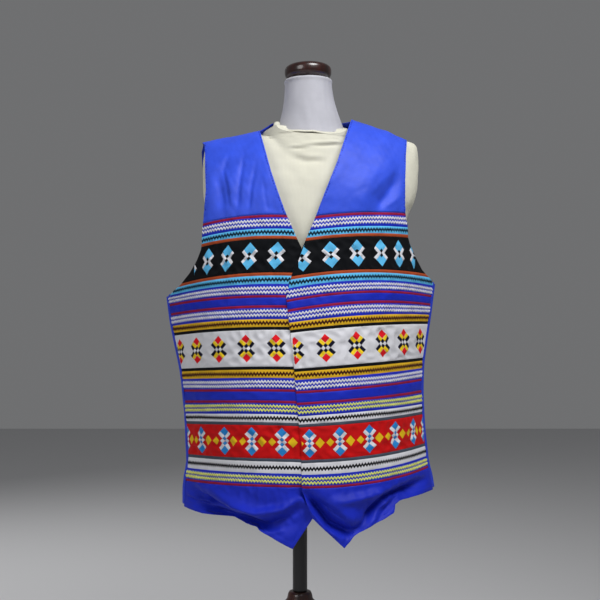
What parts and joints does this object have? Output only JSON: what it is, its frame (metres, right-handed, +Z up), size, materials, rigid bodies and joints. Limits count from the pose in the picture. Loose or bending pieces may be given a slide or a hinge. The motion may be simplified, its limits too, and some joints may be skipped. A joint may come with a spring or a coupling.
{
  "type": "patchwork vest on a limbless dress form",
  "caption": "Sleeveless pieced cotton vest with patch bands and zigzag trim, lapped in front and pointed at the hem, worn on a limbless dress form with a turned wooden stand.",
  "frame": {"origin": "on the floor, below the middle of the object's box, which is the stand's own axis", "axes": "+Z up along the stand's pole, the vest's front faces -Y, and the wearer's left is at +X"},
  "size_m": [0.4721, 0.4058, 1.3],
  "materials": {
    "blue_cotton": "matt cotton, royal blue",
    "trimmed_strip": "matt cotton strips with tape and zigzag trim",
    "black_patch": "matt pieced cotton on black",
    "white_patch": "matt pieced cotton on white",
    "red_patch": "matt pieced cotton on red",
    "cream_jersey": "matt jersey",
    "grey_neck": "matt jersey",
    "dark_wood": "gloss lacquer, dark red-brown",
    "black_metal": "satin black"
  },
  "bodies": {
    "root": {"front_left_yoke": "blue_cotton", "front_left_upper_trim_above": "trimmed_strip", "front_left_upper_patch_band": "black_patch", "front_left_upper_trim_below": "trimmed_strip", "front_left_middle_trim_above": "trimmed_strip", "front_left_middle_patch_band": "white_patch", "front_left_middle_trim_below": "trimmed_strip", "front_left_lower_trim_above": "trimmed_strip", "front_left_lower_patch_band": "red_patch", "front_left_lower_trim_below": "trimmed_strip", "front_left_plain_strip_1": "blue_cotton", "front_left_plain_strip_2": "blue_cotton", "front_left_hem_panel": "blue_cotton", "front_right_yoke": "blue_cotton", "front_right_upper_trim_above": "trimmed_strip", "front_right_upper_patch_band": "black_patch", "front_right_upper_trim_below": "trimmed_strip", "front_right_middle_trim_above": "trimmed_strip", "front_right_middle_patch_band": "white_patch", "front_right_middle_trim_below": "trimmed_strip", "front_right_lower_trim_above": "trimmed_strip", "front_right_lower_patch_band": "red_patch", "front_right_lower_trim_below": "trimmed_strip", "front_right_plain_strip_1": "blue_cotton", "front_right_plain_strip_2": "blue_cotton", "front_right_hem_panel": "blue_cotton", "back_panel": "blue_cotton", "form_torso": "cream_jersey", "form_cover_roll": "cream_jersey", "form_neck": "grey_neck", "form_neck_cap": "dark_wood", "stand_pole": "black_metal", "stand_post": "dark_wood", "stand_leg_0": "dark_wood", "stand_leg_1": "dark_wood", "stand_leg_2": "dark_wood", "stand_leg_3": "dark_wood"}
  },
  "joints": []
}
